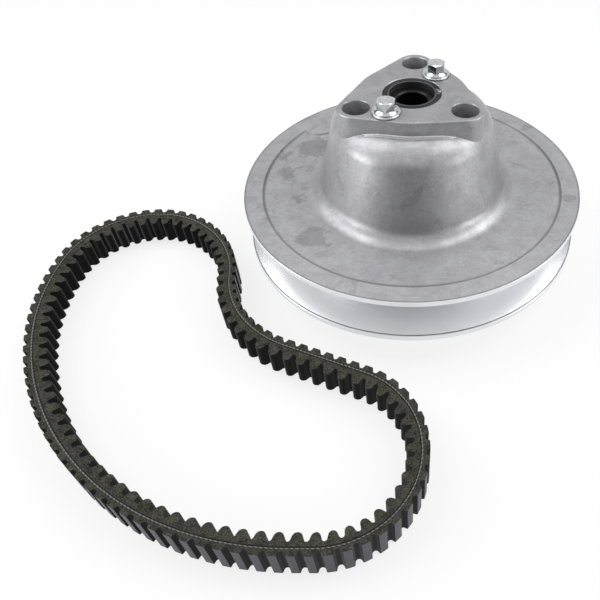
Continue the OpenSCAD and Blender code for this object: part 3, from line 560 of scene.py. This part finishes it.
# Zinc plate: bright, bluish grey, a little uneven
zinc_plate, tree, place = blank_finish("bright_zinc_plate")
patch = add(tree, "ShaderNodeTexNoise", {"Vector": place, "Scale": 1 / (2.5 * MM), "Detail": 4})
shade = add(tree, "ShaderNodeMix", {0: patch.outputs["Fac"], 6: linear("#8e9194"), 7: linear("#dcdedf")},
            data_type="RGBA")
dull = add(tree, "ShaderNodeMapRange", {"Value": patch.outputs["Fac"], "To Min": 0.16, "To Max": 0.06})
close_finish(tree, {"Base Color": shade.outputs[2], "Metallic": 1, "Roughness": dull.outputs[0]})

bolts, washers = bmesh.new(), bmesh.new()
for i in range(2):
    hexagon = bmesh.new()
    bmesh.ops.create_cone(hexagon, cap_ends=True, segments=6, radius1=bolt_flats / math.sqrt(3) * MM,
                          radius2=bolt_flats / math.sqrt(3) * MM, depth=(hex_h + bolt_flange_t) * MM,
                          matrix=Matrix.Translation((0, 0, (head_z + head_top) / 2 * MM)))
    upright = [e for e in hexagon.edges if abs(e.verts[0].co.z - e.verts[1].co.z) > MM]
    bmesh.ops.bevel(hexagon, geom=upright, offset=hex_round * MM, affect="EDGES", segments=3,
                    profile=0.5, material=-1)
    crown = turn([(0, head_z, 0), (bolt_flats, head_z, 0), (bolt_flats, head_top - crown_drop, 0),
                  (bolt_flats / 2 - crown_in, head_top, 0.2), (0, head_top, 0)], 48)
    head = cut(hexagon, crown, "INTERSECT")
    stem = turn([(0, bolt_end, 0), (bolt_r, bolt_end, 0.5), (bolt_r, head_z, 0),
                 (bolt_flange_r, head_z, 0.2), (bolt_flange_r, head_z + bolt_flange_edge, 0.4),
                 (bolt_flats / 2, head_z + bolt_flange_t, 0), (0, head_z + bolt_flange_t, 0)], 64)
    head = cut(head, stem, "UNION")
    bmesh.ops.dissolve_degenerate(head, edges=head.edges, dist=1e-6)
    washer = turn([(bolt_r + washer_slip, washer_z, 0), (washer_r, washer_z, 0.3),
                   (washer_r, head_z, 0.5), (bolt_r + washer_slip, head_z, 0)], 64)
    for bm, stock in ((head, bolts), (washer, washers)):
        set_out(bm, bolt_circle_r, bolt_bearing + math.pi * i)
        gather(bm, stock)
cam_bolts = shown("cam_bolts_plated", bolts, [zinc_plate], sharp=30)
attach(cam_bolts, "movable_half")
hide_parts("cam_bolts")
bolt_washers = shown("bolt_washers_plated", washers, [zinc_plate])
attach(bolt_washers, "movable_half")
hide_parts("bolt_washers")

# ---- Belt ----
# A raw-edge double-cogged belt: moulded rubber cogs outside and inside a band of tension cords. Its
# flanks are cut, so they show the fibres in the rubber and the outermost cord.

belt_w, outer_tip, outer_root, cord_t, inner_root, inner_tip = 25, 5, 2.1, 1.8, 3.8, 9.6
root_round, outer_round, inner_round, layer_gap = 1.15, 0.3, 2.3, 0.06
outer_cogs, inner_cogs = 89, 83
lay_start = (-179.5, -4.2, math.radians(150))  # x and y in mm, and the heading
bends = [(61, 111), (167, 27), (220, 33), (202, 39), (0, 12.355), (60, 158), (0, 60.507), (83, -62),
         (82, 54)]  # radius in mm and angle in degrees, or 0 and the length of a straight
runs, belt_length = [], 0
x, y, heading = lay_start
for bend_r, amount in bends:
    turned = math.radians(amount) if bend_r else 0
    length = bend_r * abs(turned) if bend_r else amount
    runs.append((belt_length, length, x, y, heading, turned))
    belt_length += length
    if turned:
        k = length / turned
        x += k * (math.sin(heading + turned) - math.sin(heading))
        y -= k * (math.cos(heading + turned) - math.cos(heading))
        heading += turned
    else:
        x += length * math.cos(heading)
        y += length * math.sin(heading)


def laid(along, out, up):
    """The point in metres at a distance along the belt, out from its cord line and up, in mm."""
    along %= belt_length
    start, length, x, y, heading, turned = next(run for run in reversed(runs) if run[0] <= along + 1e-9)
    part = along - start
    if turned:
        k, h = length / turned, heading + turned * part / length
        x += k * (math.sin(h) - math.sin(heading))
        y -= k * (math.cos(h) - math.cos(heading))
    else:
        h = heading
        x += part * math.cos(h)
        y += part * math.sin(h)
    return Vector((x + out * math.sin(h), y - out * math.cos(h), up)) * MM


def belt_layer(cogs, outline, rounds, sunk=0):
    """One layer of the belt, from the outline of one cog as (share of the pitch, height out) with the
    lengths of its rounded corners, repeated round the loop, with its flanks sunk by that much."""
    bm = bmesh.new()
    pitch = belt_length / cogs
    corners = [bm.verts.new((share * pitch, out, 0)) for share, out in outline]
    bm.faces.new(corners)
    for corner, round_off in zip(corners, rounds):
        if round_off:
            bmesh.ops.bevel(bm, geom=[corner], offset=round_off, affect="VERTICES", segments=4,
                            profile=0.5, material=-1)
    far = bmesh.ops.extrude_face_region(bm, geom=bm.faces[:])["geom"]
    bmesh.ops.translate(bm, verts=[v for v in far if isinstance(v, bmesh.types.BMVert)], vec=(0, 0, 1))
    ends = [f for f in bm.faces if all(abs(v.co.x) < 1e-6 for v in f.verts) or
            all(abs(v.co.x - pitch) < 1e-6 for v in f.verts)]
    bmesh.ops.delete(bm, geom=ends, context="FACES")
    for f in bm.faces:
        tip = abs(f.calc_center_median().y) > max(abs(out) for _, out in outline) - 0.05
        f.material_index = 0 if abs(f.normal.z) > 0.5 else 1 if tip else 2
    one = bm.verts[:] + bm.edges[:] + bm.faces[:]
    for i in range(1, cogs):
        copy = bmesh.ops.duplicate(bm, geom=one)["geom"]
        bmesh.ops.translate(bm, verts=[v for v in copy if isinstance(v, bmesh.types.BMVert)],
                            vec=(pitch * i, 0, 0))
    for v in bm.verts:
        half = belt_w / 2 - (outer_tip - v.co.y) * face_slope - sunk
        v.co = laid(v.co.x, v.co.y, belt_w / 2 + half * (1 if v.co.z > 0.5 else -1))
    bmesh.ops.remove_doubles(bm, verts=bm.verts, dist=1e-6)
    bmesh.ops.recalc_face_normals(bm, faces=bm.faces)
    return bm


# Cut flank: dark olive rubber full of short pale fibres, matt and speckled
cut_rubber, tree, place = blank_finish("fibre_filled_rubber_flank")
fibre_size = 0.9  # mm; the fibres are nearer 0.3 mm and too fine to show
fibre = add(tree, "ShaderNodeTexNoise", {"Vector": place, "Scale": 1 / (fibre_size * MM), "Detail": 3,
                                         "Roughness": 0.75})
patchy = add(tree, "ShaderNodeTexNoise", {"Vector": place, "Scale": 1 / (5 * MM), "Detail": 2})
mixed = add(tree, "ShaderNodeMix", {0: 0.25, 2: fibre.outputs["Fac"], 3: patchy.outputs["Fac"]})
speckle = add(tree, "ShaderNodeMapRange", {"Value": mixed.outputs[0], "From Min": 0.4, "From Max": 0.66})
shade = add(tree, "ShaderNodeMix", {0: speckle.outputs[0], 6: linear("#151511"), 7: linear("#55554c")},
            data_type="RGBA")
nap = add(tree, "ShaderNodeBump", {"Height": fibre.outputs["Fac"], "Strength": 0.5, "Distance": 0.2 * MM})
close_finish(tree, {"Base Color": shade.outputs[2], "Roughness": 0.9, "Specular IOR Level": 0.2,
                    "Normal": nap.outputs[0]})

# Outer cogs: moulded chloroprene, purple-grey and satin
outer_rubber, tree, place = blank_finish("moulded_rubber_outer")
bloom = add(tree, "ShaderNodeTexNoise", {"Vector": place, "Scale": 1 / (5 * MM), "Detail": 4})
shade = add(tree, "ShaderNodeMix", {0: bloom.outputs["Fac"], 6: linear("#3d3c44"), 7: linear("#524f59")},
            data_type="RGBA")
dull = add(tree, "ShaderNodeMapRange", {"Value": bloom.outputs["Fac"], "To Min": 0.45, "To Max": 0.6})
close_finish(tree, {"Base Color": shade.outputs[2], "Roughness": dull.outputs[0],
                    "Specular IOR Level": 0.4})

# Inner cogs: the same rubber against its mould, near black, soft blue sheen; painted shade in the outer
# gaps
inner_rubber_and_gap_shade, tree, place = blank_finish("moulded_rubber_inner_and_gap_shade")
bloom = add(tree, "ShaderNodeTexNoise", {"Vector": place, "Scale": 1 / (5 * MM), "Detail": 4})
shade = add(tree, "ShaderNodeMix", {0: bloom.outputs["Fac"], 6: linear("#070709"), 7: linear("#101013")},
            data_type="RGBA")
dull = add(tree, "ShaderNodeMapRange", {"Value": bloom.outputs["Fac"], "To Min": 0.42, "To Max": 0.55})
close_finish(tree, {"Base Color": shade.outputs[2], "Roughness": dull.outputs[0], "IOR": 1.25,
                    "Specular IOR Level": 0.2})

# Bonding rubber: the soft black band that the cords lie in
cord_rubber, tree, place = blank_finish("bonding_rubber")
fleck = add(tree, "ShaderNodeTexNoise", {"Vector": place, "Scale": 1 / (1 * MM), "Detail": 2})
shade = add(tree, "ShaderNodeMix", {0: fleck.outputs["Fac"], 6: linear("#08080a"), 7: linear("#131315")},
            data_type="RGBA")
close_finish(tree, {"Base Color": shade.outputs[2], "Roughness": 0.7, "Specular IOR Level": 0.2})

# Tension cord: pale polyester strands, twisted, so that dark slanted lines part them along the cord
twisted_cord, tree, _ = blank_finish("twisted_polyester_cord")
wound = add(tree, "ShaderNodeUVMap", uv_map="wound")
part = add(tree, "ShaderNodeSeparateXYZ", {"Vector": wound.outputs[0]})
slant = add(tree, "ShaderNodeMath", {0: part.outputs["X"], 1: part.outputs["Y"]}, operation="ADD")
strand = add(tree, "ShaderNodeMath", {0: slant.outputs[0], 1: 1}, operation="PINGPONG")
shade = add(tree, "ShaderNodeMapRange", {"Value": strand.outputs[0], "From Min": 0.15, "From Max": 0.6})
tint = add(tree, "ShaderNodeMix", {0: shade.outputs[0], 6: linear("#1c1c1b"), 7: linear("#72716c")},
           data_type="RGBA")
close_finish(tree, {"Base Color": tint.outputs[2], "Roughness": 0.6})

low = cord_t / 2 + layer_gap
bm = belt_layer(outer_cogs, [
    (0, low), (0.25, low), (0.5, low), (0.75, low), (1, low), (1, outer_root), (0.86, outer_root),
    (0.76, outer_tip), (0.5, outer_tip), (0.24, outer_tip), (0.14, outer_root), (0, outer_root)],
    [0, 0, 0, 0, 0, 0, root_round, outer_round, 0, outer_round, root_round, 0])
# The outer cogs' sides and valleys take the near-black rubber as painted shade between the cogs
overcord = shown("belt_overcord_cogs", bm, [cut_rubber, outer_rubber, inner_rubber_and_gap_shade])
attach(overcord, "belt")
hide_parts("belt_overcord")

bm = belt_layer(inner_cogs, [
    (0, -low), (0, -inner_root), (0.13, -inner_root), (0.27, -inner_tip), (0.5, -inner_tip),
    (0.73, -inner_tip), (0.87, -inner_root), (1, -inner_root), (1, -low), (0.75, -low), (0.5, -low),
    (0.25, -low)],
    [0, 0, root_round, inner_round, 0, inner_round, root_round, 0, 0, 0, 0, 0])
undercord = shown("belt_undercord_cogs", bm, [cut_rubber, inner_rubber_and_gap_shade, inner_rubber_and_gap_shade])
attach(undercord, "belt")
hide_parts("belt_undercord")

band_depth, cord_out, cord_r, strand_l = 0.4, 0.35, 0.42, 2.8
bm = belt_layer(outer_cogs, [
    (0, -cord_t / 2), (0.25, -cord_t / 2), (0.5, -cord_t / 2), (0.75, -cord_t / 2), (1, -cord_t / 2),
    (1, cord_t / 2), (0.75, cord_t / 2), (0.5, cord_t / 2), (0.25, cord_t / 2), (0, cord_t / 2)],
    [0] * 10, band_depth)
cord_band = shown("belt_cord_band", bm, [cord_rubber, cord_rubber, cord_rubber])
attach(cord_band, "belt")
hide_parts("belt_cord")

cord_steps = 4 * outer_cogs
station_l = belt_length / cord_steps
bm = bmesh.new()
wound = bm.loops.layers.uv.new("wound")
flank_half = belt_w / 2 - (outer_tip - cord_out) * face_slope - cord_r
for side in (-1, 1):
    rim = bmesh.ops.create_circle(bm, segments=8, radius=cord_r, matrix=Matrix.Translation(
        (0, cord_out, belt_w / 2 + side * flank_half)) @ Matrix.Rotation(math.pi / 2, 4, "Y"))["verts"]
    edges = {e for v in rim for e in v.link_edges}
    bmesh.ops.spin(bm, geom=rim + list(edges), cent=(0, 0, 0), axis=(0, 0, 1), angle=0,
                   dvec=(station_l, 0, 0), steps=cord_steps)
for face in bm.faces:
    centre = face.calc_center_median()
    side = 1 if centre.z > belt_w / 2 else -1
    for loop in face.loops:
        spot = loop.vert.co
        turned = math.atan2((spot.z - belt_w / 2) * side - flank_half, spot.y - cord_out) / math.pi
        middle = math.atan2((centre.z - belt_w / 2) * side - flank_half,
                            centre.y - cord_out) / math.pi
        loop[wound].uv = (2 * spot.x / strand_l, turned + 2 * round((middle - turned) / 2))
for v in bm.verts:
    v.co = laid(round(v.co.x / station_l) * station_l, v.co.y, v.co.z)
bmesh.ops.remove_doubles(bm, verts=bm.verts, dist=1e-6)
bmesh.ops.recalc_face_normals(bm, faces=bm.faces)
edge_cords = shown("belt_edge_cords", bm, [twisted_cord], sharp=180)
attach(edge_cords, "belt")
for piece in (overcord, undercord, cord_band, edge_cords):
    piece.visible_glossy = False  # the belt lies apart, so the bright sheaves don't mirror it

# ---- Studio ----
# A white floor that keeps a soft shadow, one softbox overhead, one on each side and a low panel at each
# side in front. Three grey cards, one low in front and one at each side behind, are seen only in
# reflections, where they give the bell and the groove their darker patches.

aim = Vector((0, 0, 0.08))


def seen(tree):
    """1 on rays that show a thing to the camera, directly or mirrored, and 0 on those that light it."""
    ray = add(tree, "ShaderNodeLightPath")
    level = ray.outputs["Is Camera Ray"]
    for kind in ("Is Glossy Ray", "Is Transmission Ray"):
        either = add(tree, "ShaderNodeMath", {0: level, 1: ray.outputs[kind]}, operation="MAXIMUM")
        level = either.outputs[0]
    return level


# Floor paint: plain white, lifted to pure white where it's seen, so that only the shadow shows
floor_paint, tree, _ = blank_finish("white_floor")
lift = add(tree, "ShaderNodeMath", {0: seen(tree), 1: 0.8}, operation="MULTIPLY")
paint = add(tree, "ShaderNodeBsdfDiffuse", {"Color": linear("#f2f2f2")})
glow = add(tree, "ShaderNodeEmission", {"Color": (1, 1, 1, 1), "Strength": 1})
blend = add(tree, "ShaderNodeMixShader", {0: lift.outputs[0], 1: paint.outputs[0], 2: glow.outputs[0]})
add(tree, "ShaderNodeOutputMaterial", {"Surface": blend.outputs[0]})
bm = bmesh.new()
bmesh.ops.create_grid(bm, x_segments=1, y_segments=1, size=4,
                      matrix=Matrix.Translation((0, 0, -0.2 * MM)))
floor = shown("floor", bm, [floor_paint])

for name, spot, size, colour in (
    ("front_card", (-0.02, -0.42, 0.11), (0.46, 0.22), "#3a3a3b"),
    ("flag_left", (-0.5, 0.34, 0.34), (0.3, 0.34), "#707071"),
    ("flag_right", (0.5, 0.34, 0.34), (0.3, 0.34), "#707071"),
):
    card_paint, tree, _ = blank_finish(name + "_paint")
    close_finish(tree, {"Base Color": linear(colour), "Roughness": 0.9})
    bm = bmesh.new()
    upright = Vector((-spot[0], -spot[1], 0)).to_track_quat("Z", "Y").to_matrix().to_4x4()
    bmesh.ops.create_grid(bm, x_segments=1, y_segments=1, size=0.5, matrix=Matrix.Translation(spot)
                          @ upright @ Matrix.Diagonal((*size, 1, 1)))
    card = shown(name, bm, [card_paint])
    card.visible_camera = card.visible_diffuse = card.visible_shadow = False

world = bpy.data.worlds.new("studio")
world.use_nodes = True
tree = world.node_tree
tree.nodes.clear()
level = add(tree, "ShaderNodeMapRange", {"Value": seen(tree), "To Min": 0.25, "To Max": 1})
sky = add(tree, "ShaderNodeBackground", {"Color": (1, 1, 1, 1), "Strength": level.outputs[0]})
add(tree, "ShaderNodeOutputWorld", {"Surface": sky.outputs[0]})
scene.world = world

for name, spot, size, power in (
    ("softbox_top", (0, 0.35, 1.05), (0.5, 0.35), 1.1),
    ("softbox_left", (-0.76, 0.12, 0.9), (0.7, 1.0), 7.7),
    ("softbox_right", (0.76, 0.12, 0.9), (0.7, 1.0), 8.5),
    ("panel_left", (-0.85, -0.35, 0.22), (0.5, 0.4), 3),
    ("panel_right", (0.85, -0.35, 0.22), (0.5, 0.4), 2),
):
    lamp = bpy.data.lights.new(name, "AREA")
    lamp.shape, lamp.size, lamp.size_y, lamp.energy = "RECTANGLE", size[0], size[1], power
    light = bpy.data.objects.new(name, lamp)
    light.location = spot
    light.rotation_euler = (aim - Vector(spot)).to_track_quat("-Z", "Y").to_euler()
    scene.collection.objects.link(light)

lens = bpy.data.cameras.new("camera")
lens.sensor_width, lens.lens, lens.shift_x = 36, 37.77, -0.1867
camera = bpy.data.objects.new("camera", lens)
camera.location = (0, -0.4026, 0.3636)
camera.rotation_euler = (math.radians(42.35), 0, 0)
scene.collection.objects.link(camera)
scene.camera = camera
scene.view_settings.view_transform = "Standard"
